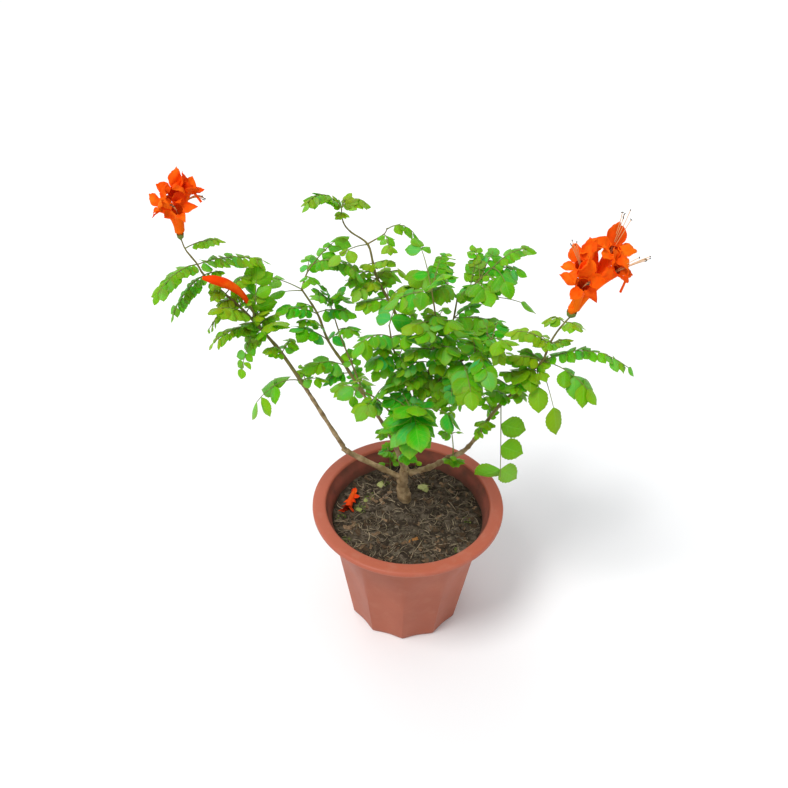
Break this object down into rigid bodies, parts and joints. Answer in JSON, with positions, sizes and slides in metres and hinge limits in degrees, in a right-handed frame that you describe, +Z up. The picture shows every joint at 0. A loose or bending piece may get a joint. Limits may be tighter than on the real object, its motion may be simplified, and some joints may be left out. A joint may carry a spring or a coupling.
{
  "type": "potted cape honeysuckle",
  "caption": "Young cape honeysuckle in a round fluted plastic pot filled with soil, with arching stems, pinnate leaves and orange trumpet flowers.",
  "frame": {"origin": "centre of the pot's flat base, on the ground", "axes": "+Z up; the side seen in the picture faces -Y, and the plant's widest spread runs along X"},
  "size_m": [0.5419, 0.2664, 0.6292],
  "materials": {
    "terracotta": "satin reddish-brown plastic",
    "soil": "rough moist potting soil with bark chips",
    "bark": "matt ridged bark",
    "leaf": "soft leaf sheen",
    "petal": "soft petal"
  },
  "bodies": {
    "root": {"pot": "terracotta", "soil": "soil", "trunk": "bark", "left-shoot": "leaf", "right-shoot": "leaf", "back-left-shoot": "leaf", "top-shoot": "leaf", "back-right-shoot": "leaf", "crown-shoot": "leaf", "green-shoot": "leaf", "right-crown-shoot": "leaf", "left-crown-shoot": "leaf", "front-shoot": "leaf", "limb-sprout": "leaf", "left-seedling": "leaf", "middle-seedling": "leaf", "left-flowers": "petal", "right-flowers": "petal", "flower-bud": "petal", "dropped-flower": "petal"}
  },
  "joints": []
}
